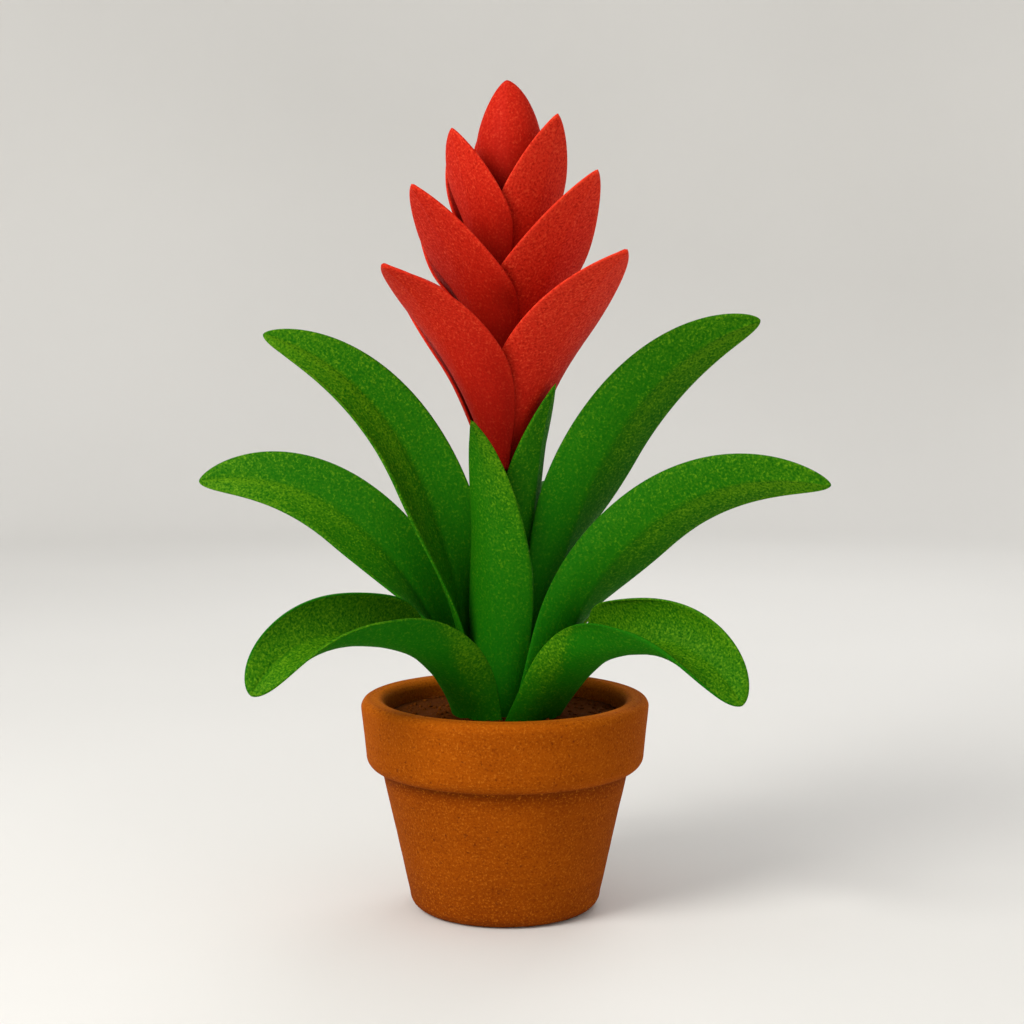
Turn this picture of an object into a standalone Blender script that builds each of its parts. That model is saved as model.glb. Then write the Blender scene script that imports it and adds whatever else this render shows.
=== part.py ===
"""Potted bromeliad: a turned terracotta pot, its soil, and a plant of strap leaves and tiered red bracts.

Metres, +Z up. The origin is on the ground under the pot's centre, and the front of the plant faces -Y.
Azimuths are in degrees, counter-clockwise from +X seen from above, so the front is 270.
"""

import math

import bmesh
import bpy
from mathutils import Matrix, Vector

# Pot
RIM_RADIUS = 0.075
POT_HEIGHT = 0.111
RIM_HEIGHT = 0.037
RIM_TAPER = 0.0025
RIM_ROUND = 0.0045
RIM_UNDER_ROUND = 0.0075
MOUTH_RADIUS = 0.0625
BODY_TOP_RADIUS = 0.0645
FOOT_RADIUS = 0.0500
FOOT_ROUND = 0.008
WALL = 0.0065
FLOOR = 0.009
DRAIN_RADIUS = 0.008
TURN_STEPS = 48

# Soil and stem
SOIL_LEVEL = 0.101
SOIL_MOUND = 0.0015
SOCKET_RADIUS = 0.0312
SOCKET_FLOOR = 0.080
GAP = 0.0003
STEM_RADIUS = 0.0062
STEM_NECK_RADIUS = 0.0050
STEM_NECK_HEIGHT = 0.215
STEM_TOP = 0.343
STEM_TOP_RADIUS = 0.0030
STEM_TOP_TAPER = 0.006
STEM_NECK_TAPER = 0.040

# Leaves and bracts
BLADE_THICKNESS = 0.0020
LEAF_ROWS, LEAF_COLUMNS = 14, 6
BRACT_ROWS, BRACT_COLUMNS = 10, 6
LEAF_FOOT = 0.0965
BLADE_FLATTEN = 0.55
TIP_WIDTH = 0.0045

# Outline of a blade from its widest place to its tip: powers of the distance run
STRAP = (2.1, 0.58)
SPEAR = (1.4, 1.0)

# Sheaths nest in rings round the stem, one ring for each height of leaf.
RING_RADII = {1: 0.0255, 2: 0.0222, 3: 0.0189, 4: 0.0156, 5: 0.0123, 6: 0.0092}

# name: ring, azimuth, then rise, bow and tip as (radius, height)
LEAF_SPINES = {
    "leaf_low_left": (1, 219.5, (0.0345, 0.1425), (0.1215, 0.1805), (0.1560, 0.1300)),
    "leaf_low_right": (1, 319.7, (0.0537, 0.1417), (0.1127, 0.1760), (0.1487, 0.1247)),
    "leaf_low_back_left": (1, 120, (0.028, 0.148), (0.094, 0.161), (0.109, 0.126)),
    "leaf_low_back_right": (1, 58, (0.028, 0.146), (0.094, 0.157), (0.109, 0.124)),
    "leaf_mid_left": (2, 171, (0.0310, 0.1550), (0.082, 0.2405), (0.164, 0.221)),
    "leaf_mid_right": (2, 336, (0.0225, 0.142), (0.074, 0.247), (0.173, 0.228)),
    "leaf_mid_back": (2, 80, (0.030, 0.150), (0.068, 0.206), (0.100, 0.172)),
    "leaf_front": (4, 251, (0.0195, 0.128), (0.012, 0.237), (0.051, 0.258)),
    "leaf_high_back_right": (4, 66, (0.018, 0.160), (0.038, 0.230), (0.100, 0.210)),
    "leaf_high_left": (3, 175, (0.0215, 0.126), (0.022, 0.272), (0.126, 0.299)),
    "leaf_high_right": (5, 347, (0.020, 0.166), (0.046, 0.284), (0.131, 0.307)),
    "leaf_inner_right": (6, 321, (0.015, 0.166), (0.0136, 0.239), (0.033, 0.275)),
    "leaf_high_back_left": (3, 106, (0.023, 0.152), (0.038, 0.226), (0.098, 0.206)),
    "leaf_inner_back": (6, 84, (0.0095, 0.185), (0.012, 0.220), (0.032, 0.240)),
}
# name: width, foot width, roll, channel radius, outline
LEAF_BLADES = {
    "leaf_low_left": (0.0480, 0.0465, -41, 0.0135, STRAP),
    "leaf_low_right": (0.0490, 0.0540, 43, 0.0142, STRAP),
    "leaf_low_back_left": (0.042, 0.026, -10, 0.020, STRAP),
    "leaf_low_back_right": (0.042, 0.026, 10, 0.020, STRAP),
    "leaf_mid_left": (0.043, 0.038, -62, 0.029, STRAP),
    "leaf_mid_right": (0.041, 0.042, -64, 0.027, STRAP),
    "leaf_mid_back": (0.036, 0.020, 0, 0.030, STRAP),
    "leaf_front": (0.045, 0.026, -25, 0.034, SPEAR),
    "leaf_high_back_right": (0.032, 0.018, 8, 0.030, STRAP),
    "leaf_high_left": (0.046, 0.022, -55, 0.025, STRAP),
    "leaf_high_right": (0.046, 0.022, -56, 0.035, STRAP),
    "leaf_inner_right": (0.041, 0.020, 0, 0.016, SPEAR),
    "leaf_high_back_left": (0.032, 0.016, -8, 0.030, STRAP),
    "leaf_inner_back": (0.020, 0.012, 0, 0.018, SPEAR),
}
# The low front leaves: shift of the foot round the crown, then for each side of the blade the half width
# that is added, its place along the leaf and its reach
LIPS = {
    "leaf_low_left": (-0.0040, (0.0004, 0.325, 0.10), (0.0148, 0.387, 0.28)),
    "leaf_low_right": (0.0040, (0.0165, 0.424, 0.242), (0.0050, 0.341, 0.11)),
}
NO_LIP = (0.0, (0.0, 0.5, 1.0), (0.0, 0.5, 1.0))
# A blade curls up to this angle, in radians, and runs straight on beyond it
CURL_LIMIT = 1.65

# tier: foot, rise, bow and tip (radius, height), width, opening, outline
TIERS = {
    "low": ((0.0100, 0.230), (0.0110, 0.252), (0.0410, 0.314), (0.084, 0.338), 0.0565, 0.016, (2.1, 0.84)),
    "middle": ((0.0100, 0.270), (0.0110, 0.297), (0.0350, 0.344), (0.0643, 0.377), 0.056, 0.066, (1.5, 0.80)),
    "top": ((0.0100, 0.306), (0.0160, 0.339), (0.0243, 0.372), (0.0372, 0.4055), 0.044, 0.022, (1.7, 0.80)),
}
# quarter: azimuth, lift of the tip, share of the tier's width
QUARTERS = {
    "front_left": (225, -0.0035, 1.0),
    "front_right": (315, 0.0035, 1.0),
    "back_right": (45, 0.0015, 0.9),
    "back_left": (135, -0.0055, 0.9),
}
BRACT_LAP = 0.0024

# bud bract: azimuth, width, height of the tip and its distance from the stem's line
BUDS = {"bud_front": (277, 0.046, 0.4270, 0.0080), "bud_back": (90, 0.038, 0.4130, 0.0060)}
BUD_SPINE = ((0.0080, 0.345), (0.018, 0.370), (0.022, 0.402))
BUD_OUTLINE = (1.7, 0.8)


def clear_scene():
    for obj in list(bpy.data.objects):
        bpy.data.objects.remove(obj, do_unlink=True)


def new_collection(name, helper=False):
    collection = bpy.data.collections.new(name)
    bpy.context.scene.collection.children.link(collection)
    collection.hide_render = helper
    return collection


def new_material(name, color, roughness):
    material = bpy.data.materials.new(name)
    material.use_nodes = True
    shader = material.node_tree.nodes["Principled BSDF"]
    shader.inputs["Base Color"].default_value = (*color, 1.0)
    shader.inputs["Roughness"].default_value = roughness
    shader.inputs["Metallic"].default_value = 0.0
    return material


def new_object(name, mesh, collection, material, parent):
    obj = bpy.data.objects.new(name, mesh)
    mesh.materials.append(material)
    collection.objects.link(obj)
    obj.parent = parent
    return obj


def smoothstep(low, high, value):
    t = min(1.0, max(0.0, (value - low) / (high - low)))
    return t * t * (3.0 - 2.0 * t)


def arc(center, radius, start, end, steps):
    """Points on an arc in the (radius, height) plane, angles in degrees."""
    points = []
    for i in range(steps + 1):
        angle = math.radians(start + (end - start) * i / steps)
        points.append((center[0] + radius * math.cos(angle), center[1] + radius * math.sin(angle)))
    return points


def turned(name, profile, ring, collection, material, parent):
    """A (radius, height) outline turned about Z: a closed ring, or open with both its ends on the axis."""
    mesh = bpy.data.meshes.new(name)
    points = [(radius, 0.0, height) for radius, height in profile]
    edges = [(i, (i + 1) % len(points)) for i in range(len(points) if ring else len(points) - 1)]
    mesh.from_pydata(points, edges, [])
    obj = new_object(name, mesh, collection, material, parent)
    screw = obj.modifiers.new("Turn", "SCREW")
    screw.axis = "Z"
    screw.steps = TURN_STEPS
    screw.render_steps = TURN_STEPS
    screw.use_merge_vertices = True
    screw.merge_threshold = 0.00001
    screw.use_smooth_shade = True
    return obj


def bezier(points, s):
    a, b, c, d = points
    return a * (1 - s) ** 3 + b * 3 * s * (1 - s) ** 2 + c * 3 * s * s * (1 - s) + d * s**3


def blade_frame(spine, azimuth, s, roll):
    """Place, side and face directions of a blade at s along its spine; the face looks at the stem or up."""
    turn = Matrix.Rotation(math.radians(azimuth), 3, "Z")
    ends = [bezier(spine, min(1.0, max(0.0, s + step))) for step in (-0.005, 0.005)]
    along = (turn @ (ends[1] - ends[0])).normalized()
    side = turn @ Vector((0.0, 1.0, 0.0))
    twist = Matrix.Rotation(math.radians(roll), 3, along)
    side = twist @ side
    return turn @ bezier(spine, s), side, along.cross(side)


def blade_point(side, face, across, bend_radius):
    """A point of the cross-section: across metres from the spine, on an arc and then straight on."""
    angle = max(-CURL_LIMIT, min(CURL_LIMIT, across / bend_radius))
    past = across - angle * bend_radius
    point = side * (bend_radius * math.sin(angle)) + face * (bend_radius * (1.0 - math.cos(angle)))
    return point + past * (side * math.cos(angle) + face * math.sin(angle))


def blade(name, spine, azimuth, shape, grid, collection, material, parent):
    """A leaf or bract: a grid laid along its spine, cupped round the stem at its foot and flatter above."""
    rows, columns = grid
    mesh = bpy.data.meshes.new(name)
    bm = bmesh.new()
    bmesh.ops.create_grid(bm, x_segments=columns, y_segments=rows, size=1.0)
    for vert in bm.verts:
        s = (vert.co.y + 1.0) / 2.0
        place, side, face = blade_frame(spine, azimuth, s, shape["roll"](s))
        across = vert.co.x * shape["width"](s) / 2.0 + shape["lip"](s, vert.co.x)
        vert.co = place + blade_point(side, face, across, shape["bend"](s))
    bm.to_mesh(mesh)
    bm.free()
    mesh.shade_smooth()
    obj = new_object(name, mesh, collection, material, parent)
    solidify = obj.modifiers.new("Thickness", "SOLIDIFY")
    solidify.thickness = BLADE_THICKNESS
    solidify.offset = 0.0
    return obj


def leaf_width(width, foot_width, outline):
    """A leaf widens from its foot to the middle, then narrows to its tip."""

    def at(s):
        if s < 0.5:
            return foot_width + (width - foot_width) * smoothstep(0.0, 0.5, s)
        return max(TIP_WIDTH, width * (1.0 - ((s - 0.5) / 0.5) ** outline[0]) ** outline[1])

    return at


def bract_width(width, outline):
    """A bract is a pointed oval, widest a little above its middle."""

    def at(s):
        if s < 0.55:
            return width * (0.4 + 0.6 * smoothstep(0.0, 0.55, s))
        return max(TIP_WIDTH, width * (1.0 - ((s - 0.55) / 0.45) ** outline[0]) ** outline[1])

    return at


def lip_of(name):
    """Extra distance across a blade: a foot shifted round the crown, and lips that rise at its margins."""
    shift, *lips = LIPS.get(name, NO_LIP)

    def at(s, share):
        extra, place, reach = lips[share > 0]
        lip = extra * math.exp(-(((s - place) / reach) ** 2))
        return shift * (1.0 - smoothstep(0.35, 0.65, s)) + share * lip

    return at


def make_pot(collection, material, parent):
    top, bottom = POT_HEIGHT, POT_HEIGHT - RIM_HEIGHT
    low_rim = RIM_RADIUS - RIM_TAPER
    slope = (BODY_TOP_RADIUS - FOOT_RADIUS) / bottom
    inner_top = BODY_TOP_RADIUS - WALL
    inner_foot = FOOT_RADIUS + slope * FLOOR - WALL
    profile = arc((RIM_RADIUS - RIM_ROUND, top - RIM_ROUND), RIM_ROUND, 90, 0, 5)
    profile += arc((low_rim - RIM_UNDER_ROUND, bottom + RIM_UNDER_ROUND), RIM_UNDER_ROUND, 0, -90, 6)
    profile += [(BODY_TOP_RADIUS, bottom)]
    profile += arc((FOOT_RADIUS - FOOT_ROUND, FOOT_ROUND), FOOT_ROUND, 0, -90, 6)
    profile += [(DRAIN_RADIUS, 0.0), (DRAIN_RADIUS, FLOOR)]
    profile += [(inner_foot, FLOOR), (inner_top, bottom - WALL / 2), (MOUTH_RADIUS, bottom + WALL)]
    profile += arc((MOUTH_RADIUS + RIM_ROUND, top - RIM_ROUND), RIM_ROUND, 180, 90, 5)
    return turned("pot", profile, True, collection, material, parent)


def make_soil(collection, material, parent):
    bottom = POT_HEIGHT - RIM_HEIGHT
    slope = (BODY_TOP_RADIUS - FOOT_RADIUS) / bottom
    inner_top = BODY_TOP_RADIUS - WALL
    inner_foot = FOOT_RADIUS + slope * FLOOR - WALL
    profile = [(0.0, SOCKET_FLOOR), (SOCKET_RADIUS, SOCKET_FLOOR), (SOCKET_RADIUS, SOIL_LEVEL + SOIL_MOUND)]
    profile += [(MOUTH_RADIUS - 2 * GAP, SOIL_LEVEL), (MOUTH_RADIUS - 2 * GAP, bottom + WALL)]
    profile += [(inner_top - 2 * GAP, bottom - WALL / 2), (inner_foot - 2 * GAP, FLOOR + GAP)]
    profile += [(0.0, FLOOR + GAP)]
    return turned("soil", profile, False, collection, material, parent)


def make_stem(collection, material, parent):
    profile = [(0.0, STEM_TOP), (STEM_TOP_RADIUS, STEM_TOP), (STEM_NECK_RADIUS, STEM_TOP - STEM_TOP_TAPER)]
    profile += [(STEM_NECK_RADIUS, STEM_NECK_HEIGHT), (STEM_RADIUS, STEM_NECK_HEIGHT - STEM_NECK_TAPER)]
    profile += [(STEM_RADIUS, SOCKET_FLOOR + GAP), (0.0, SOCKET_FLOOR + GAP)]
    return turned("flower_stem", profile, False, collection, material, parent)


def make_leaf(name, collection, material, parent):
    ring, azimuth, *points = LEAF_SPINES[name]
    width, foot_width, roll, channel, outline = LEAF_BLADES[name]
    radius = RING_RADII[ring]
    spine = [Vector((r, 0, z)) for r, z in ((radius, LEAF_FOOT), *points)]
    shape = {
        "width": leaf_width(width, foot_width, outline),
        "lip": lip_of(name),
        "roll": lambda s: roll * smoothstep(0.15, 0.6, s),
        "bend": lambda s: radius + (channel - radius) * smoothstep(0.1, BLADE_FLATTEN, s),
    }
    return blade(name, spine, azimuth, shape, (LEAF_ROWS, LEAF_COLUMNS), collection, material, parent)


def make_bract(name, points, width, opening, outline, azimuth, collection, material, parent):
    """A bract wraps the cone of its tier, with one edge over its neighbour and the other edge under."""
    spine = [Vector((radius, 0, height)) for radius, height in points]

    def radius_at(s):
        return max(spine[0].x, bezier(spine, s).x)

    shape = {
        "width": bract_width(width, outline),
        "lip": lip_of(name),
        "roll": lambda s: -math.degrees(BRACT_LAP / radius_at(s)),
        "bend": lambda s: radius_at(s) + opening * smoothstep(0.4, 0.8, s),
    }
    return blade(name, spine, azimuth, shape, (BRACT_ROWS, BRACT_COLUMNS), collection, material, parent)


def main():
    clear_scene()
    parts = new_collection("potted_bromeliad")
    root = bpy.data.objects.new("plant_base", None)
    parts.objects.link(root)
    make_pot(parts, new_material("terracotta", (0.33, 0.085, 0.012), 0.85), root)
    make_soil(parts, new_material("soil", (0.045, 0.018, 0.006), 0.95), root)
    make_stem(parts, new_material("stem", (0.05, 0.14, 0.01), 0.6), root)
    leaf_green = new_material("leaf", (0.04, 0.16, 0.006), 0.5)
    for name in LEAF_SPINES:
        make_leaf(name, parts, leaf_green, root)
    bract_red = new_material("bract", (0.52, 0.025, 0.012), 0.5)
    for tier, (*points, tip, width, opening, outline) in TIERS.items():
        for quarter, (azimuth, lift, share) in QUARTERS.items():
            spine = (*points, (tip[0], tip[1] + lift))
            name = f"bract_{tier}_{quarter}"
            make_bract(name, spine, share * width, opening, outline, azimuth, parts, bract_red, root)
    for name, (azimuth, width, height, offset) in BUDS.items():
        spine = (*BUD_SPINE, (offset, height))
        make_bract(name, spine, width, 0.0, BUD_OUTLINE, azimuth, parts, bract_red, root)


main()
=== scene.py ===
"""The potted bromeliad's looks: its clay, soil, leaves and bracts as finished surfaces, in a plain studio.

Metres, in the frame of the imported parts: +Z up, the front of the plant faces -Y, and azimuths are in
degrees, counter-clockwise from +X seen from above.
"""

import math
import random
from functools import partial

import bmesh
import bpy
from mathutils import Matrix, Vector, noise


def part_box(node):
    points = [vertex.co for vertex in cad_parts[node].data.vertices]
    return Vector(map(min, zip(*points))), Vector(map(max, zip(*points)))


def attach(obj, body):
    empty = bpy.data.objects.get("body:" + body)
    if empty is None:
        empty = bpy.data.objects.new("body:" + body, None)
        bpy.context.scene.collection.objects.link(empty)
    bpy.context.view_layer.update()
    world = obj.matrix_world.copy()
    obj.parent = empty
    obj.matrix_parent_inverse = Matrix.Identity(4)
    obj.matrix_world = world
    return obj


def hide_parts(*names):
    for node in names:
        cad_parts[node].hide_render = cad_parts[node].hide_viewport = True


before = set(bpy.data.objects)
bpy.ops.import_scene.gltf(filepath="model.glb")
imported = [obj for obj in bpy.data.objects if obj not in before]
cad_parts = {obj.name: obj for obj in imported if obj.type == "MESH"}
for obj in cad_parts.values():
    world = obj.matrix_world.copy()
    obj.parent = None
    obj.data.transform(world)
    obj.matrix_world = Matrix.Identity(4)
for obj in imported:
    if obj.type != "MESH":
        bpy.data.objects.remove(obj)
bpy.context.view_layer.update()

BODY = "root"

# Blades: the leaves' and bracts' spines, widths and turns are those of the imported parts
LEAF_FOOT = 0.0965
STRAP = (2.1, 0.58)
SPEAR = (1.4, 1.0)
RING_RADII = {1: 0.0255, 2: 0.0222, 3: 0.0189, 4: 0.0156, 5: 0.0123, 6: 0.0092}
# name: ring, azimuth, then rise, bow and tip as (radius, height)
LEAF_SPINES = {
    "leaf_low_left": (1, 219.5, (0.0345, 0.1425), (0.1215, 0.1805), (0.1560, 0.1300)),
    "leaf_low_right": (1, 319.7, (0.0537, 0.1417), (0.1127, 0.1760), (0.1487, 0.1247)),
    "leaf_low_back_left": (1, 120, (0.028, 0.148), (0.094, 0.161), (0.109, 0.126)),
    "leaf_low_back_right": (1, 58, (0.028, 0.146), (0.094, 0.157), (0.109, 0.124)),
    "leaf_mid_left": (2, 171, (0.0310, 0.1550), (0.082, 0.2405), (0.164, 0.221)),
    "leaf_mid_right": (2, 336, (0.0225, 0.142), (0.074, 0.247), (0.173, 0.228)),
    "leaf_mid_back": (2, 80, (0.030, 0.150), (0.068, 0.206), (0.100, 0.172)),
    "leaf_front": (4, 251, (0.0195, 0.128), (0.012, 0.237), (0.051, 0.258)),
    "leaf_high_back_right": (4, 66, (0.018, 0.160), (0.038, 0.230), (0.100, 0.210)),
    "leaf_high_left": (3, 175, (0.0215, 0.126), (0.022, 0.272), (0.126, 0.299)),
    "leaf_high_right": (5, 347, (0.020, 0.166), (0.046, 0.284), (0.131, 0.307)),
    "leaf_inner_right": (6, 321, (0.015, 0.166), (0.0136, 0.239), (0.033, 0.275)),
    "leaf_high_back_left": (3, 106, (0.023, 0.152), (0.038, 0.226), (0.098, 0.206)),
    "leaf_inner_back": (6, 84, (0.0095, 0.185), (0.012, 0.220), (0.032, 0.240)),
}
# name: width, foot width, roll, channel radius, outline
LEAF_BLADES = {
    "leaf_low_left": (0.0480, 0.0465, -41, 0.0135, STRAP),
    "leaf_low_right": (0.0490, 0.0540, 43, 0.0142, STRAP),
    "leaf_low_back_left": (0.042, 0.026, -10, 0.020, STRAP),
    "leaf_low_back_right": (0.042, 0.026, 10, 0.020, STRAP),
    "leaf_mid_left": (0.043, 0.038, -62, 0.029, STRAP),
    "leaf_mid_right": (0.041, 0.042, -64, 0.027, STRAP),
    "leaf_mid_back": (0.036, 0.020, 0, 0.030, STRAP),
    "leaf_front": (0.045, 0.026, -25, 0.034, SPEAR),
    "leaf_high_back_right": (0.032, 0.018, 8, 0.030, STRAP),
    "leaf_high_left": (0.046, 0.022, -55, 0.025, STRAP),
    "leaf_high_right": (0.046, 0.022, -56, 0.035, STRAP),
    "leaf_inner_right": (0.041, 0.020, 0, 0.016, SPEAR),
    "leaf_high_back_left": (0.032, 0.016, -8, 0.030, STRAP),
    "leaf_inner_back": (0.020, 0.012, 0, 0.018, SPEAR),
}
# The low front leaves: shift of the foot round the crown, then for each side of the blade the half width
# that is added, its place along the leaf and its reach
LIPS = {
    "leaf_low_left": (-0.0040, (0.0004, 0.325, 0.10), (0.0148, 0.387, 0.28)),
    "leaf_low_right": (0.0040, (0.0165, 0.424, 0.242), (0.0050, 0.341, 0.11)),
}
NO_LIP = (0.0, (0.0, 0.5, 1.0), (0.0, 0.5, 1.0))
# The side on which each of them folds over, seen from its foot
LIP_SIDES = {"leaf_low_left": 1, "leaf_low_right": -1}
# A blade curls up to this angle, in radians, and runs straight on beyond it
CURL_LIMIT = 1.65

# tier: foot, rise, bow and tip (radius, height), width, opening, outline
TIERS = {
    "low": ((0.0100, 0.230), (0.0110, 0.252), (0.0410, 0.314), (0.084, 0.338), 0.0565, 0.016, (2.1, 0.84)),
    "middle": ((0.0100, 0.270), (0.0110, 0.297), (0.0350, 0.344), (0.0643, 0.377), 0.056, 0.066, (1.5, 0.80)),
    "top": ((0.0100, 0.306), (0.0160, 0.339), (0.0243, 0.372), (0.0372, 0.4055), 0.044, 0.022, (1.7, 0.80)),
}
# quarter: azimuth, lift of the tip, share of the tier's width
QUARTERS = {
    "front_left": (225, -0.0035, 1.0),
    "front_right": (315, 0.0035, 1.0),
    "back_right": (45, 0.0015, 0.9),
    "back_left": (135, -0.0055, 0.9),
}
BRACT_LAP = 0.0024
# How much lighter a bract is, by a part of its name: painted shade on the buds and the left bracts, which
# face the key light, and painted light on the right ones
BRACT_SHADES = {"bud": -0.24, "left": -0.12, "right": 0.12}

# bud bract: azimuth, width, height of the tip and its distance from the stem's line
BUDS = {"bud_front": (277, 0.046, 0.4270, 0.0080), "bud_back": (90, 0.038, 0.4130, 0.0060)}
BUD_SPINE = ((0.0080, 0.345), (0.018, 0.370), (0.022, 0.402))
BUD_OUTLINE = (1.7, 0.8)

# Outline of a blade: its widest place along it, and a bract's width at its foot as a share of that
LEAF_WIDEST = 0.5
BRACT_WIDEST = 0.55
BRACT_FOOT_SHARE = 0.4
# Where along it a shifted foot comes back to the leaf's middle
FOOT_SHIFT_SPAN = (0.35, 0.65)

# Section of a blade; near the tip its margin and half thickness are shares of its width
LEAF_THICKNESS = 0.0026
BRACT_THICKNESS = 0.0027
MARGIN_RADIUS = 0.0007
MARGIN_SHARE = 0.3
HALF_THICKNESS_SHARE = 0.35
FACE_STEPS = 22
MARGIN_STEPS = 4
LEAF_ROWS = 76
BRACT_ROWS = 52
ROW_CROWDING = 1.5
SLOPE_STEP = 0.005
SMALLEST_WIDTH = 0.0006
# Relief of a blade: heights in metres, reaches as shares of the half width
FULL_RELIEF_WIDTH = 0.02
GROOVE_DEPTH = 0.0006
GROOVE_REACH = 0.10
PILLOW_HEIGHT = 0.0007
KEEL_HEIGHT = 0.0005
KEEL_REACH = 0.09
RIPPLE_HEIGHT = 0.0005
RIPPLE_WAVES = 9.0
RIPPLE_SLANT = 1.2
RIDGE_HEIGHT = 0.0003
RIDGE_REACH = 0.10

# Tones run from 0, the darkest, to 1, the lightest. A leaf's tone in the crown, which is painted shade, and
# the painted light, highlights and shade that are added:
CROWN_SHADE_TONE = 0.14
OPEN_LIGHT = 0.40
# painted highlight beside the midrib, painted light on the lower half and painted shade on the upper half
MIDRIB_HIGHLIGHT = 0.22
LOWER_HALF_LIGHT = 0.12
UPPER_HALF_SHADE = 0.08
# painted rim highlight along the margins
MARGIN_LIGHT = 0.08
# A bract's tone at its foot, which is painted shade deep in the flower head, and what is added: the fading of
# that shade, a painted rim highlight at the margins and a lighter tip
BRACT_FOOT_SHADE_TONE = 0.12
BRACT_OPEN_LIGHT = 0.60
# painted rim highlight along a bract's margins
BRACT_MARGIN_HIGHLIGHT = 0.12
BRACT_TIP_LIGHT = 0.06
# How far up its length the crown's painted shade reaches on a leaf, for each ring
SHADED_SHARE = {1: 0.45, 2: 0.80, 3: 0.85, 4: 0.95, 5: 0.85, 6: 1.0}
# How much lighter its tip is
TIP_LIGHT = {1: 0.02, 2: 0.16, 3: 0.16, 4: 0.08, 5: 0.16, 6: 0.0}

# Clay, soil and stem
RIM_HEIGHT = 0.037
RIM_TAPER = 0.0025
RIM_ROUND = 0.0045
RIM_UNDER_ROUND = 0.0075
BODY_TOP_RADIUS = 0.0645
FOOT_RADIUS = 0.0500
FOOT_ROUND = 0.008
WALL = 0.0065
FLOOR = 0.009
DRAIN_RADIUS = 0.008
DRAIN_ROUND = 0.001
SOIL_GAP = 0.0006
CLAY_STEP = 0.0018
TURN_STEPS = 180
CLAY_UNEVENNESS = 0.00018
SOIL_RELIEF = 0.0010
SOIL_SINK = 0.0015
SOIL_BOTTOM = 0.078
SOIL_BOTTOM_SHARE = 0.93
SOIL_RINGS = 56
MOUND_HEIGHT = 0.0022
MOUND_RADIUS = 0.045
CRUMBS = 300
CRUMB_SIZES = (0.0004, 0.0013)
CRUMB_SINK = 0.15
CRUMB_EDGE_GAP = 0.003
CROWN_RADIUS = 0.026
STEM_RINGS = 9
STEM_RING_HEIGHT = 0.0004
STEM_TIP_RADIUS = 0.0004
STEM_STEPS = 120
STEM_UNEVENNESS = 0.0001

# Studio
CAMERA_PLACE = (0.0036, -1.100, 0.324)
CAMERA_PITCH = 83.96
CAMERA_LENS = 75.1
COVE_RADIUS = 2.2
COVE_BEND = 0.5
COVE_HEIGHT = 1.8
COVE_STEPS = 96
SKY_STRENGTH = 0.56
LIGHT_TARGET = (0.0, 0.0, 0.20)
# light: place, diameter, power, colour
LIGHTS = {
    "key_light": ((-1.10, -1.00, 1.20), 0.9, 27.0, (1.0, 0.985, 0.94)),
    "fill_light": ((1.30, -0.90, 0.70), 1.2, 1.4, (1.0, 0.97, 0.95)),
    "back_light": ((0.50, 1.30, 1.30), 1.0, 7.0, (1.0, 1.0, 1.0)),
}


def smoothstep(low, high, value):
    t = min(1.0, max(0.0, (value - low) / (high - low)))
    return t * t * (3.0 - 2.0 * t)


def bump_at(place, value, reach):
    """A bell curve of height 1 at place."""
    return math.exp(-(((value - place) / reach) ** 2))


# ---------------------------------------------------------------- materials


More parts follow.
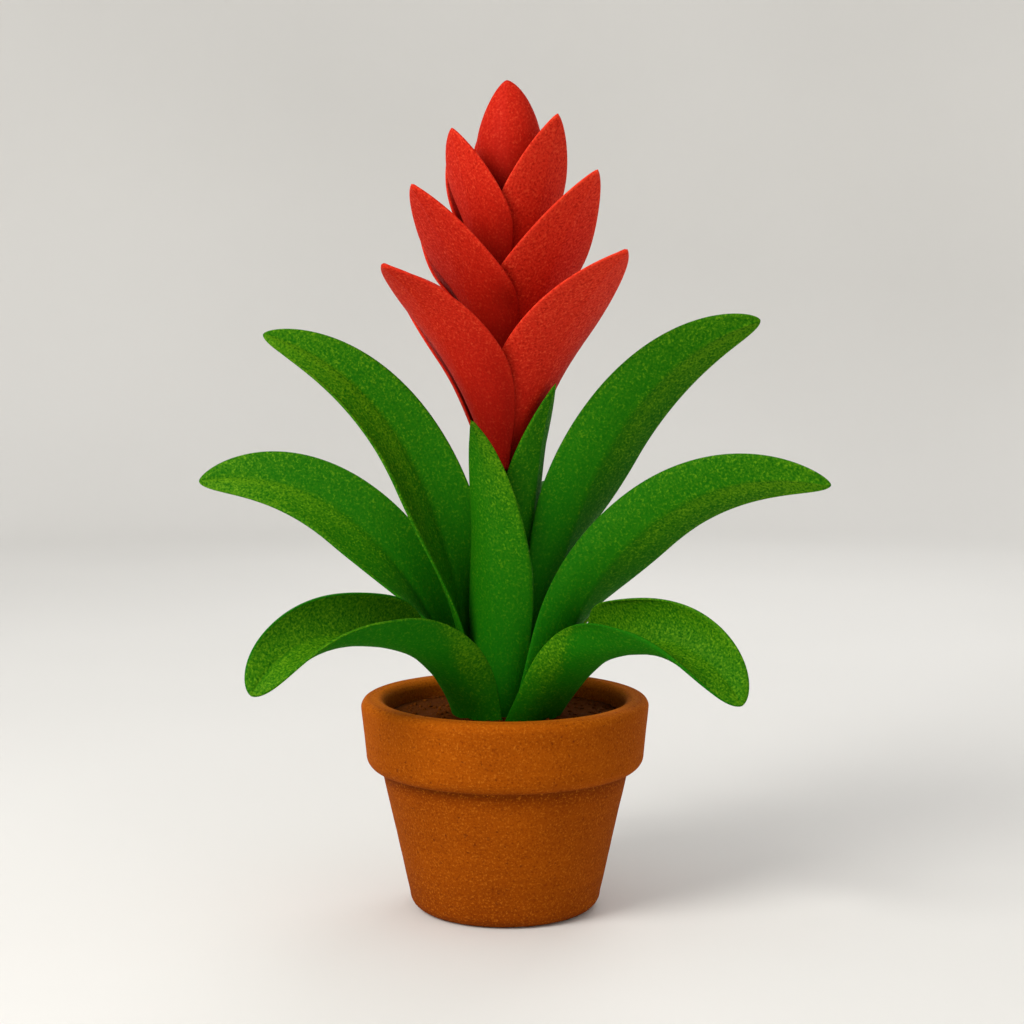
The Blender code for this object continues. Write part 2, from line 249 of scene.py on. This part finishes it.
class Material:
    """A node material, with one short call for each kind of node."""

    def __init__(self, name, roughness, specular):
        self.data = bpy.data.materials.new(name)
        self.data.use_nodes = True
        self.nodes = self.data.node_tree.nodes
        self.shader = self.nodes["Principled BSDF"]
        self.shader.inputs["Roughness"].default_value = roughness
        self.shader.inputs["Specular IOR Level"].default_value = specular
        self.place = self.nodes.new("ShaderNodeTexCoord").outputs["Object"]

    def link(self, source, target):
        self.data.node_tree.links.new(source, target)

    def attribute(self, name, output="Fac"):
        node = self.nodes.new("ShaderNodeAttribute")
        node.attribute_name = name
        return node.outputs[output]

    def noise(self, scale, detail=3.0, roughness=0.55, place=None, stretch=None):
        node = self.nodes.new("ShaderNodeTexNoise")
        node.inputs["Scale"].default_value = scale
        node.inputs["Detail"].default_value = detail
        node.inputs["Roughness"].default_value = roughness
        place = place or self.place
        if stretch:
            mapping = self.nodes.new("ShaderNodeMapping")
            mapping.inputs["Scale"].default_value = stretch
            self.link(place, mapping.inputs["Vector"])
            place = mapping.outputs["Vector"]
        self.link(place, node.inputs["Vector"])
        return node.outputs["Fac"]

    def math(self, operation, *values):
        node = self.nodes.new("ShaderNodeMath")
        node.operation = operation
        for socket, value in zip(node.inputs, values):
            if isinstance(value, (int, float)):
                socket.default_value = value
            else:
                self.link(value, socket)
        return node.outputs["Value"]

    def spread(self, value, low, high, new_low=0.0, new_high=1.0):
        """value from low..high moved to new_low..new_high, and held inside it."""
        node = self.nodes.new("ShaderNodeMapRange")
        node.interpolation_type = "SMOOTHSTEP"
        ends = {"From Min": low, "From Max": high, "To Min": new_low, "To Max": new_high}
        for name, number in ends.items():
            node.inputs[name].default_value = number
        self.link(value, node.inputs["Value"])
        return node.outputs["Result"]

    def ramp(self, value, stops):
        node = self.nodes.new("ShaderNodeValToRGB")
        elements = node.color_ramp.elements
        while len(elements) < len(stops):
            elements.new(0.5)
        for element, (place, color) in zip(elements, stops):
            element.position = place
            element.color = (*color, 1.0)
        self.link(value, node.inputs["Fac"])
        return node.outputs["Color"]

    def mix(self, share, first, second, blend="MIX"):
        node = self.nodes.new("ShaderNodeMix")
        node.data_type = "RGBA"
        node.blend_type = blend
        for name, value in (("Factor_Float", share), ("A_Color", first), ("B_Color", second)):
            socket = next(s for s in node.inputs if s.identifier == name)
            if isinstance(value, (int, float)):
                socket.default_value = value
            elif isinstance(value, tuple):
                socket.default_value = (*value, 1.0)
            else:
                self.link(value, socket)
        return next(s for s in node.outputs if s.identifier == "Result_Color")

    def bump(self, height, distance, strength=1.0, normal=None):
        node = self.nodes.new("ShaderNodeBump")
        node.inputs["Strength"].default_value = strength
        node.inputs["Distance"].default_value = distance
        self.link(height, node.inputs["Height"])
        if normal:
            self.link(normal, node.inputs["Normal"])
        return node.outputs["Normal"]

    def finish(self, color, normal, roughness=None):
        self.link(color, self.shader.inputs["Base Color"])
        self.link(normal, self.shader.inputs["Normal"])
        if roughness:
            self.link(roughness, self.shader.inputs["Roughness"])
        return self.data


def blade_material(name, stops, light, dark, speckle, mottling, roughness):
    """A leaf's or bract's skin: its tone from foot to tip, which carries painted shade, light and highlights,
    fine fibres along it, and a scurf of specks.
    """
    skin = Material(name, roughness, 0.04)
    tone = skin.attribute("tone")
    grain = skin.attribute("grain", "Vector")
    patches = skin.noise(42.0, 3.0)
    fibres = skin.noise(1.0, 2.0, 0.5, grain, (950.0, 26.0, 1.0))
    fine = skin.noise(820.0, 2.0, 0.6)
    coarse = skin.noise(360.0, 2.0, 0.5)
    drift = skin.math("MULTIPLY_ADD", patches, 0.16, -0.08)
    streak = skin.math("MULTIPLY_ADD", fibres, 0.14, -0.07)
    shown = skin.spread(tone, 0.15, 0.80, 0.25, 1.0)
    mottle = skin.math("MULTIPLY", skin.math("MULTIPLY_ADD", fine, mottling, -0.5 * mottling), shown)
    toned = skin.math("ADD", skin.math("ADD", tone, drift), skin.math("ADD", streak, mottle))
    color = skin.ramp(toned, stops)
    specks = skin.math("MULTIPLY", skin.spread(fine, 0.50, 0.70), skin.spread(coarse, 0.30, 0.65))
    color = skin.mix(skin.math("MULTIPLY", skin.math("MULTIPLY", specks, shown), speckle), color, light)
    pits = skin.math("MULTIPLY", skin.spread(fine, 0.47, 0.30), shown)
    color = skin.mix(skin.math("MULTIPLY", pits, speckle), color, dark)
    normal = skin.bump(fibres, 0.00022, 0.55)
    normal = skin.bump(fine, 0.00025, 0.7, normal)
    return skin.finish(color, normal, skin.spread(fine, 0.3, 0.7, roughness + 0.08, roughness - 0.08))


def leaf_material():
    stops = (
        (0.00, (0.0026, 0.124, 0.0012)),
        (0.30, (0.0085, 0.128, 0.0010)),
        (0.55, (0.0170, 0.132, 0.0009)),
        (0.78, (0.0380, 0.160, 0.0012)),
        (1.00, (0.0680, 0.200, 0.0020)),
    )
    return blade_material("leaf_skin", stops, (0.125, 0.300, 0.006), (0.007, 0.078, 0.0006), 0.80, 1.2, 0.66)


def bract_material():
    stops = (
        (0.00, (0.240, 0.0042, 0.0014)),
        (0.35, (0.410, 0.0100, 0.0034)),
        (0.65, (0.560, 0.0190, 0.0070)),
        (1.00, (0.700, 0.0340, 0.0130)),
    )
    return blade_material("bract_skin", stops, (0.82, 0.10, 0.035), (0.30, 0.006, 0.002), 0.50, 0.8, 0.62)


def stem_material():
    skin = Material("stem_skin", 0.6, 0.25)
    grain = skin.noise(1.0, 3.0, 0.55, None, (700.0, 700.0, 60.0))
    color = skin.ramp(grain, ((0.30, (0.010, 0.060, 0.004)), (0.70, (0.050, 0.150, 0.012))))
    return skin.finish(color, skin.bump(grain, 0.0003, 0.6))


def clay_material():
    """Fired clay: a warm body colour that follows the tone, with turning lines, sandy grain and pits."""
    clay = Material("terracotta_clay", 0.85, 0.03)
    tone = clay.attribute("tone")
    patches = clay.noise(26.0, 4.0, 0.6)
    turning = clay.noise(1.0, 3.0, 0.5, None, (9.0, 9.0, 420.0))
    sand = clay.noise(900.0, 2.0, 0.65)
    grit = clay.noise(420.0, 2.0, 0.5)
    drift = clay.math("MULTIPLY_ADD", patches, 0.30, -0.15)
    rings = clay.math("MULTIPLY_ADD", turning, 0.16, -0.08)
    toned = clay.math("ADD", clay.math("ADD", tone, drift), rings)
    stops = (
        (0.00, (0.085, 0.014, 0.0006)),
        (0.35, (0.210, 0.038, 0.0010)),
        (0.60, (0.325, 0.066, 0.0013)),
        (1.00, (0.460, 0.112, 0.0030)),
    )
    color = clay.ramp(toned, stops)
    pale = clay.math("MULTIPLY", clay.spread(sand, 0.54, 0.70), 0.55)
    color = clay.mix(pale, color, (0.56, 0.160, 0.009))
    deep = clay.math("MULTIPLY", clay.spread(sand, 0.45, 0.32), 0.50)
    color = clay.mix(deep, color, (0.14, 0.019, 0.001))
    holes = clay.spread(grit, 0.33, 0.26)
    color = clay.mix(clay.math("MULTIPLY", holes, 0.5), color, (0.10, 0.014, 0.001))
    normal = clay.bump(turning, 0.0004, 0.25)
    normal = clay.bump(sand, 0.00035, 0.8, normal)
    normal = clay.bump(clay.math("SUBTRACT", 1.0, holes), 0.0004, 0.6, normal)
    return clay.finish(color, normal, clay.spread(sand, 0.3, 0.7, 0.92, 0.78))


def soil_material():
    soil = Material("potting_soil", 0.95, 0.03)
    tone = soil.attribute("tone")
    clods = soil.noise(260.0, 4.0, 0.65)
    fine = soil.noise(1300.0, 3.0, 0.6)
    toned = soil.math("ADD", soil.math("MULTIPLY_ADD", clods, 0.5, -0.25), tone)
    stops = (
        (0.0, (0.040, 0.0085, 0.0006)),
        (0.5, (0.095, 0.0220, 0.0014)),
        (1.0, (0.165, 0.0430, 0.0034)),
    )
    color = soil.ramp(toned, stops)
    color = soil.mix(soil.math("MULTIPLY", soil.spread(fine, 0.60, 0.72), 0.5), color, (0.18, 0.055, 0.006))
    normal = soil.bump(clods, 0.0010, 0.8)
    normal = soil.bump(fine, 0.0004, 0.8, normal)
    return soil.finish(color, normal)


def studio_material():
    paint = Material("studio_paint", 0.85, 0.2)
    mottle = paint.noise(1.4, 2.0)
    color = paint.ramp(mottle, ((0.3, (0.760, 0.750, 0.730)), (0.7, (0.800, 0.790, 0.770))))
    return paint.finish(color, paint.bump(paint.noise(160.0, 2.0), 0.0004, 0.15))


# ---------------------------------------------------------------- meshes


def mesh_object(name, points, faces, tones, material, grains=None):
    """An object from points and faces, with its tone and its grain's coordinates stored on its points."""
    mesh = bpy.data.meshes.new(name)
    mesh.from_pydata(points, [], faces)
    bm = bmesh.new()
    bm.from_mesh(mesh)
    bmesh.ops.recalc_face_normals(bm, faces=bm.faces)
    bm.to_mesh(mesh)
    bm.free()
    mesh.attributes.new("tone", "FLOAT", "POINT").data.foreach_set("value", tones)
    if grains:
        flat = [number for grain in grains for number in grain]
        mesh.attributes.new("grain", "FLOAT_VECTOR", "POINT").data.foreach_set("vector", flat)
    mesh.shade_smooth()
    mesh.materials.append(material)
    obj = bpy.data.objects.new(name, mesh)
    bpy.context.scene.collection.objects.link(obj)
    return obj


def stand_for(obj, node):
    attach(obj, BODY)
    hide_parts(node)


def bezier(points, s):
    a, b, c, d = points
    return a * (1 - s) ** 3 + b * 3 * s * (1 - s) ** 2 + c * 3 * s * s * (1 - s) + d * s**3


def blade_frame(spine, azimuth, s, roll):
    """Place, side and face directions of a blade at s along its spine; the face looks at the stem or up."""
    turn = Matrix.Rotation(math.radians(azimuth), 3, "Z")
    ends = [bezier(spine, min(1.0, max(0.0, s + step))) for step in (-SLOPE_STEP, SLOPE_STEP)]
    along = (turn @ (ends[1] - ends[0])).normalized()
    side = Matrix.Rotation(math.radians(roll), 3, along) @ (turn @ Vector((0.0, 1.0, 0.0)))
    return turn @ bezier(spine, s), side, along.cross(side)


def section(width, thickness, relief):
    """Outline of a blade's cross-section: (across, offset, share of the half width, face).

    It runs over the top face, round one margin, back under and round the other margin.
    """
    margin = min(MARGIN_RADIUS, MARGIN_SHARE * width)
    flat = width / 2 - margin
    body = max(margin, min(thickness / 2, HALF_THICKNESS_SHARE * width))
    outline = []
    for face in (1, -1):
        for i in range(FACE_STEPS + 1):
            share = face * (2 * i / FACE_STEPS - 1)
            offset = margin + (body - margin) * (1 - share**2)
            outline.append((share * flat, face * offset + relief(share, face), share, face))
        for i in range(1, MARGIN_STEPS):
            angle = math.pi * i / MARGIN_STEPS
            across = face * (flat + margin * math.sin(angle))
            outline.append((across, face * margin * math.cos(angle), face, face))
    return outline


def loft_faces(rows, count):
    """Faces between neighbouring outlines of count points each, and over the first and the last one."""
    faces = []
    for row in range(rows - 1):
        for i in range(count):
            j = (i + 1) % count
            low, high = row * count, (row + 1) * count
            faces.append((low + i, low + j, high + j, high + i))
    half = count // 2
    for start in (0, (rows - 1) * count):
        for i in range(FACE_STEPS):
            under = half + FACE_STEPS - i
            faces.append((start + i, start + i + 1, start + under - 1, start + under))
        faces.append([start + i for i in range(FACE_STEPS, half + 1)])
        faces.append([start + i % count for i in range(half + FACE_STEPS, count + 1)])
    return faces


def blade(name, spine, azimuth, shape, rows, thickness, material):
    """A leaf or bract: sections set along a spine, cupped round the stem at the foot and flatter above."""
    points, tones, grains = [], [], []
    length = sum((bezier(spine, (i + 1) / rows) - bezier(spine, i / rows)).length for i in range(rows))
    for row in range(rows + 1):
        s = 1.0 - (1.0 - row / rows) ** ROW_CROWDING
        place, side, face = blade_frame(spine, azimuth, s, shape["roll"](s))
        width, bend = shape["width"](s), shape["bend"](s)
        outline = section(width, thickness * shape["fullness"](s), partial(shape["relief"], s))
        for across, offset, share, top in outline:
            across += shape["lip"](s, share)
            angle = max(-CURL_LIMIT, min(CURL_LIMIT, across / bend))
            lift = face * math.cos(angle) - side * math.sin(angle)
            center = side * (bend * math.sin(angle)) + face * (bend * (1.0 - math.cos(angle)))
            center += (across - angle * bend) * (side * math.cos(angle) + face * math.sin(angle))
            points.append(place + center + lift * offset)
            tones.append(shape["tone"](s, share, top, side.z))
            grains.append((across, s * length, 0.0))
    count = len(points) // (rows + 1)
    return mesh_object(name, points, loft_faces(rows + 1, count), tones, material, grains)


def width_along(width, foot_width, widest, outline):
    """A blade widens from its foot to its widest place, then narrows to its tip."""

    def at(s):
        if s < widest:
            return foot_width + (width - foot_width) * smoothstep(0.0, widest, s)
        narrowing = ((s - widest) / (1.0 - widest)) ** outline[0]
        return max(SMALLEST_WIDTH, width * max(0.0, 1.0 - narrowing) ** outline[1])

    return at


def lip_of(name):
    """Extra distance across a blade: a foot shifted round the crown, and lips that rise at its margins."""
    shift, *lips = LIPS.get(name, NO_LIP)

    def at(s, share):
        extra, place, reach = lips[share > 0]
        lip = extra * bump_at(place, s, reach)
        return shift * (1.0 - smoothstep(*FOOT_SHIFT_SPAN, s)) + share * lip

    return at


def leaf_tone(s, share, top, rise, shaded, tip, lip):
    """Painted shade in the crown and lighter at the tip; painted light on the half that hangs lower, most as
    a painted highlight by the midrib, painted shade on the upper half, and a painted rim highlight at the
    margins.

    A leaf with a lip has painted light from its foot on, and painted shade underneath up to the crease of its
    fold.
    """
    up = share * max(-1.0, min(1.0, 1.6 * rise))
    # painted shade in the crown, fading along the leaf
    along = smoothstep(0.0, shaded, s)
    tone = CROWN_SHADE_TONE + OPEN_LIGHT * along
    # painted highlight beside the midrib, painted light on the lower half and painted shade on the upper half
    tone += MIDRIB_HIGHLIGHT * along * bump_at(-0.20, up, 0.24)
    tone += LOWER_HALF_LIGHT * along * smoothstep(0.05, -0.4, up)
    tone -= UPPER_HALF_SHADE * along * bump_at(0.14, up, 0.22)
    # painted rim highlight along the margins
    tone += MARGIN_LIGHT * smoothstep(0.85, 1.0, abs(share)) * along
    tone += tip * smoothstep(0.70, 1.0, s)
    if not lip:
        return tone
    # painted light on a folded leaf, from its foot on
    tone = max(tone, 0.30 + 0.46 * smoothstep(0.05, 0.30, s))
    if top > 0:
        return tone
    # painted shade underneath, up to the crease of the fold
    crease = 0.58 + 0.47 * smoothstep(0.24, 0.50, s)
    folded = smoothstep(0.08, 0.26, s) * smoothstep(crease + 0.10, crease - 0.06, share * lip)
    return tone + (0.22 + 0.12 * s - tone) * folded


def bract_tone(s, share, shade):
    """Painted shade deep in the flower head, lighter at the tips, a painted rim highlight along the margins,
    and painted light and shade by the bract's place.
    """
    # painted shade at the foot, fading towards the tip, with painted light and shade by the bract's place
    tone = BRACT_FOOT_SHADE_TONE + shade + BRACT_OPEN_LIGHT * smoothstep(0.15, 0.8, s)
    # painted rim highlight along the margins
    tone += BRACT_MARGIN_HIGHLIGHT * smoothstep(0.86, 1.0, abs(share))
    return tone + BRACT_TIP_LIGHT * smoothstep(0.8, 1.0, s)


def make_leaf(name, material):
    ring, azimuth, *knots = LEAF_SPINES[name]
    width, foot_width, roll, channel, outline = LEAF_BLADES[name]
    radius = RING_RADII[ring]
    spine = [Vector((r, 0, z)) for r, z in ((radius, LEAF_FOOT), *knots)]
    phase = azimuth * 0.37
    width_at = width_along(width, foot_width, LEAF_WIDEST, outline)

    def relief(s, share, top):
        """A groove along the midrib between two soft pillows above, a keel below, and a slow ripple."""
        full = smoothstep(0.08, 0.4, s) * min(1.0, width_at(s) / FULL_RELIEF_WIDTH)
        pillow = PILLOW_HEIGHT * (1.0 - (2.0 * abs(share) - 1.0) ** 2)
        ripple = RIPPLE_HEIGHT * share**2 * math.sin(RIPPLE_WAVES * s + phase + RIPPLE_SLANT * share)
        if top > 0:
            return full * (pillow - GROOVE_DEPTH * bump_at(0.0, share, GROOVE_REACH) + ripple)
        return full * (-KEEL_HEIGHT * bump_at(0.0, share, KEEL_REACH) + 0.5 * pillow + ripple)

    shape = {
        "width": width_at,
        "lip": lip_of(name),
        "roll": lambda s: roll * smoothstep(0.15, 0.6, s),
        "bend": lambda s: radius + (channel - radius) * smoothstep(0.1, 0.55, s),
        "fullness": lambda s: 1.0 - 0.25 * smoothstep(0.6, 1.0, s),
        "relief": relief,
    }
    shaded, tip = SHADED_SHARE[ring], TIP_LIGHT[ring]
    lip = LIP_SIDES.get(name, 0)
    shape["tone"] = lambda s, share, top, rise: leaf_tone(s, share, top, rise, shaded, tip, lip)
    obj = blade(f"{name}_blade", spine, azimuth, shape, LEAF_ROWS, LEAF_THICKNESS, material)
    stand_for(obj, name)


def make_bract(name, points, width, opening, outline, azimuth, material):
    """A bract wraps the cone of its tier, with one edge over its neighbour and the other edge under."""
    spine = [Vector((radius, 0, height)) for radius, height in points]
    width_at = width_along(width, BRACT_FOOT_SHARE * width, BRACT_WIDEST, outline)
    # painted light and shade for the bract's place under the key light
    shade = next(shade for part, shade in BRACT_SHADES.items() if part in name)

    def radius_at(s):
        return max(spine[0].x, bezier(spine, s).x)

    def relief(s, share, top):
        """A ridge along the back and a shallower groove along the face."""
        full = smoothstep(0.2, 0.5, s) * min(1.0, width_at(s) / FULL_RELIEF_WIDTH)
        ridge = RIDGE_HEIGHT * bump_at(0.0, share, RIDGE_REACH)
        return full * (-ridge if top < 0 else -0.5 * ridge)

    shape = {
        "width": width_at,
        "lip": lip_of(name),
        "roll": lambda s: -math.degrees(BRACT_LAP / radius_at(s)),
        "bend": lambda s: radius_at(s) + opening * smoothstep(0.4, 0.8, s),
        "fullness": lambda s: 1.0,
        "relief": relief,
        "tone": lambda s, share, top, rise: bract_tone(s, share, shade),
    }
    obj = blade(f"{name}_skin", spine, azimuth, shape, BRACT_ROWS, BRACT_THICKNESS, material)
    stand_for(obj, name)


def make_flower(material):
    for tier, (*knots, tip, width, opening, outline) in TIERS.items():
        for quarter, (azimuth, lift, share) in QUARTERS.items():
            points = (*knots, (tip[0], tip[1] + lift))
            make_bract(f"bract_{tier}_{quarter}", points, share * width, opening, outline, azimuth, material)
    for name, (azimuth, width, height, offset) in BUDS.items():
        make_bract(name, (*BUD_SPINE, (offset, height)), width, 0.0, BUD_OUTLINE, azimuth, material)


def arc(center, radius, start, end, steps):
    """Points on an arc in the (radius, height) plane, angles in degrees."""
    points = []
    for i in range(steps + 1):
        angle = math.radians(start + (end - start) * i / steps)
        points.append((center[0] + radius * math.cos(angle), center[1] + radius * math.sin(angle)))
    return points


def divided(profile, step):
    """The profile's straight runs cut into pieces no longer than step."""
    points = []
    for (r0, z0), (r1, z1) in zip(profile, profile[1:]):
        pieces = max(1, math.ceil(math.hypot(r1 - r0, z1 - z0) / step))
        points += [(r0 + (r1 - r0) * i / pieces, z0 + (z1 - z0) * i / pieces) for i in range(pieces)]
    return [*points, profile[-1]]


def turned(name, profile, unevenness, material):
    """A closed outline of (radius, height, tone) turned about Z, slightly uneven as hand-finished clay is."""
    points, tones, faces = [], [], []
    for radius, height, tone in profile:
        for step in range(TURN_STEPS):
            angle = math.tau * step / TURN_STEPS
            place = Vector((radius * math.cos(angle), radius * math.sin(angle), height))
            wave = noise.noise(place * 38.0) + 0.5 * noise.noise(place * 140.0)
            out = Vector((place.x, place.y, 0.0)).normalized()
            points.append(place + out * unevenness * wave)
            tones.append(tone)
    rows = len(profile)
    for row in range(rows):
        for i in range(TURN_STEPS):
            j, low, high = (i + 1) % TURN_STEPS, row * TURN_STEPS, (row + 1) % rows * TURN_STEPS
            faces.append((low + i, low + j, high + j, high + i))
    return mesh_object(name, points, faces, tones, material)


def make_pot(material):
    rim_radius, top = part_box("pot")[1].x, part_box("pot")[1].z
    soil_radius, soil_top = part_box("soil")[1].x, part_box("soil")[1].z
    bottom, low_rim, mouth = top - RIM_HEIGHT, rim_radius - RIM_TAPER, soil_radius + SOIL_GAP
    inner_foot = FOOT_RADIUS + (BODY_TOP_RADIUS - FOOT_RADIUS) / bottom * FLOOR - WALL
    outer = arc((rim_radius - RIM_ROUND, top - RIM_ROUND), RIM_ROUND, 90, 0, 10)
    outer += arc((low_rim - RIM_UNDER_ROUND, bottom + RIM_UNDER_ROUND), RIM_UNDER_ROUND, 0, -90, 12)
    outer += [(BODY_TOP_RADIUS, bottom)]
    outer += arc((FOOT_RADIUS - FOOT_ROUND, FOOT_ROUND), FOOT_ROUND, 0, -90, 10)
    inner = arc((DRAIN_RADIUS + DRAIN_ROUND, DRAIN_ROUND), DRAIN_ROUND, 270, 180, 4)
    inner += arc((DRAIN_RADIUS + DRAIN_ROUND, FLOOR - DRAIN_ROUND), DRAIN_ROUND, 180, 90, 4)
    inner += [(inner_foot, FLOOR), (BODY_TOP_RADIUS - WALL, bottom - WALL / 2), (mouth, bottom + WALL)]
    inner += arc((mouth + RIM_ROUND, top - RIM_ROUND), RIM_ROUND, 180, 90, 10)
    inner += outer[:1]

    def outer_tone(radius, height):
        """A painted highlight along the top of the rim, painted shadow under the rim, and darker towards the
        foot.
        """
        tone = 0.50 + 0.10 * smoothstep(bottom - 0.001, bottom + 0.004, height)
        # painted highlight along the top of the rim
        tone += 0.16 * bump_at(top, height, 0.003)
        # painted shadow under the rim, where it meets the body
        tone -= 0.22 * bump_at(bottom - 0.001, height, 0.005) * smoothstep(low_rim, BODY_TOP_RADIUS, radius)
        return tone - 0.10 * smoothstep(0.035, 0.0, height)

    def inner_tone(height):
        """Pale at the lip with painted light, and darker towards the soil: damp clay, deepened by painted
        shade in the pot's mouth.
        """
        return 0.95 - 0.38 * smoothstep(top - 0.002, soil_top - 0.002, height)

    profile = [(radius, height, outer_tone(radius, height)) for radius, height in divided(outer, CLAY_STEP)]
    profile += [(radius, height, inner_tone(height)) for radius, height in divided(inner, CLAY_STEP)[:-1]]
    stand_for(turned("pot_clay", profile, CLAY_UNEVENNESS, material), "pot")


def soil_height(x, y, level):
    """The soil's relief: clods, grains, a slight mound at the crown."""
    place = Vector((x, y, 0.0))
    radius = place.length
    relief = 0.6 * noise.noise(place * 90.0) + 0.5 * noise.noise(place * 230.0)
    relief += 0.35 * noise.noise(place * 520.0)
    mound = MOUND_HEIGHT * smoothstep(MOUND_RADIUS, CROWN_RADIUS, radius)
    return level + SOIL_RELIEF * relief + mound


def make_soil(material):
    """The soil as one closed body with a granular top, and loose crumbs lying on it."""
    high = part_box("soil")[1]
    level, radius, bottom_radius = high.z - SOIL_SINK, high.x, SOIL_BOTTOM_SHARE * high.x
    points, tones, faces = [Vector((0.0, 0.0, level))], [0.5], []
    for ring in range(1, SOIL_RINGS + 1):
        for step in range(TURN_STEPS):
            angle = math.tau * step / TURN_STEPS
            r = radius * ring / SOIL_RINGS
            x, y = r * math.cos(angle), r * math.sin(angle)
            points.append(Vector((x, y, soil_height(x, y, level))))
            tones.append(0.42 + 0.25 * noise.noise(Vector((x, y, 0.3)) * 60.0))
    last = 1 + (SOIL_RINGS - 1) * TURN_STEPS
    for i in range(TURN_STEPS):
        angle = math.tau * i / TURN_STEPS
        points.append(Vector((bottom_radius * math.cos(angle), bottom_radius * math.sin(angle), SOIL_BOTTOM)))
        tones.append(0.3)
        j = (i + 1) % TURN_STEPS
        faces.append((0, 1 + i, 1 + j))
        for start in range(1, last, TURN_STEPS):
            faces.append((start + i, start + j, start + TURN_STEPS + j, start + TURN_STEPS + i))
        faces.append((last + i, last + j, last + TURN_STEPS + j, last + TURN_STEPS + i))
    faces.append([last + TURN_STEPS + i for i in range(TURN_STEPS)])
    stand_for(mesh_object("soil_bed", points, faces, tones, material), "soil")
    make_crumbs(level, radius, material)


def make_crumbs(level, radius, material):
    """Loose crumbs of bark and peat, each a small dented ball sunk into the soil by its middle."""
    draw = random.Random(7)
    points, tones, faces = [], [], []
    ball = bmesh.new()
    bmesh.ops.create_icosphere(ball, subdivisions=2, radius=1.0)
    for crumb in range(CRUMBS):
        angle, size = draw.uniform(0.0, math.tau), draw.uniform(*CRUMB_SIZES)
        r = math.sqrt(draw.uniform(CROWN_RADIUS**2, (radius - CRUMB_EDGE_GAP) ** 2))
        x, y = r * math.cos(angle), r * math.sin(angle)
        center = Vector((x, y, soil_height(x, y, level) + CRUMB_SINK * size))
        stretch = Vector((draw.uniform(0.7, 1.3), draw.uniform(0.7, 1.3), draw.uniform(0.5, 0.9)))
        turn = Matrix.Rotation(draw.uniform(0.0, math.pi), 3, "Z")
        tone = draw.uniform(0.35, 0.70)
        start = len(points)
        for vert in ball.verts:
            dent = 1.0 + 0.35 * noise.noise(vert.co * 1.6 + Vector((crumb, 0.0, 0.0)))
            points.append(center + turn @ (vert.co * stretch * size * dent))
            tones.append(tone)
        faces += [[start + vert.index for vert in face.verts] for face in ball.faces]
    ball.free()
    crumbs = mesh_object("soil_crumbs", points, faces, tones, material)
    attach(crumbs, BODY)


def make_stem(material):
    """The flower stem, with a low ring at each place where a bract or leaf joined it."""
    low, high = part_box("flower_stem")
    height, radius = high.z - low.z, high.x
    profile = []
    for i in range(STEM_STEPS + 1):
        s = i / STEM_STEPS
        ring = max(bump_at((k + 0.5) / STEM_RINGS, s, 0.008) for k in range(STEM_RINGS))
        body = radius * (1.0 - 0.2 * smoothstep(0.3, 0.6, s)) + STEM_RING_HEIGHT * ring
        rounding = math.sqrt(max(0.0, 1.0 - smoothstep(0.985, 1.0, s)))
        profile.append((max(STEM_TIP_RADIUS, body * rounding), low.z + height * s, 0.5))
    profile = [*reversed(profile), (STEM_TIP_RADIUS, low.z, 0.5)]
    obj = turned("flower_stem_stalk", profile, STEM_UNEVENNESS, material)
    stand_for(obj, "flower_stem")


# ---------------------------------------------------------------- studio


def make_cove():
    """A round floor that bends up into a wall, so that no edge shows from any side."""
    bend = arc((COVE_RADIUS - COVE_BEND, COVE_BEND), COVE_BEND, -90, 0, 16)
    wall = [(COVE_RADIUS, COVE_HEIGHT), *reversed(bend)]
    points, faces = [Vector((0.0, 0.0, 0.0))], []
    for radius, height in wall:
        for i in range(COVE_STEPS):
            angle = math.tau * i / COVE_STEPS
            points.append(Vector((radius * math.cos(angle), radius * math.sin(angle), height)))
    last = 1 + (len(wall) - 1) * COVE_STEPS
    for i in range(COVE_STEPS):
        j = (i + 1) % COVE_STEPS
        for start in range(1, last, COVE_STEPS):
            faces.append((start + i, start + j, start + COVE_STEPS + j, start + COVE_STEPS + i))
        faces.append((0, last + i, last + j))
    cove = mesh_object("studio_cove", points, faces, [0.5] * len(points), studio_material())


def make_light(name, place, size, power, color):
    light = bpy.data.lights.new(name, "AREA")
    light.shape = "DISK"
    light.size = size
    light.energy = power
    light.color = color
    obj = bpy.data.objects.new(name, light)
    obj.location = place
    obj.rotation_euler = (Vector(LIGHT_TARGET) - Vector(place)).to_track_quat("-Z", "Y").to_euler()
    bpy.context.scene.collection.objects.link(obj)


def make_studio():
    scene = bpy.context.scene
    scene.view_settings.view_transform = "Standard"
    world = bpy.data.worlds.new("soft_sky")
    world.use_nodes = True
    sky = world.node_tree.nodes["Background"]
    sky.inputs["Color"].default_value = (1.0, 1.0, 1.0, 1.0)
    sky.inputs["Strength"].default_value = SKY_STRENGTH
    scene.world = world
    for name, (place, size, power, color) in LIGHTS.items():
        make_light(name, place, size, power, color)
    data = bpy.data.cameras.new("camera")
    data.lens = CAMERA_LENS
    camera = bpy.data.objects.new("camera", data)
    camera.location = CAMERA_PLACE
    camera.rotation_euler = (math.radians(CAMERA_PITCH), 0.0, 0.0)
    scene.collection.objects.link(camera)
    scene.camera = camera


def main():
    make_pot(clay_material())
    make_soil(soil_material())
    make_stem(stem_material())
    skin = leaf_material()
    for name in LEAF_SPINES:
        make_leaf(name, skin)
    make_flower(bract_material())
    make_cove()
    make_studio()


main()
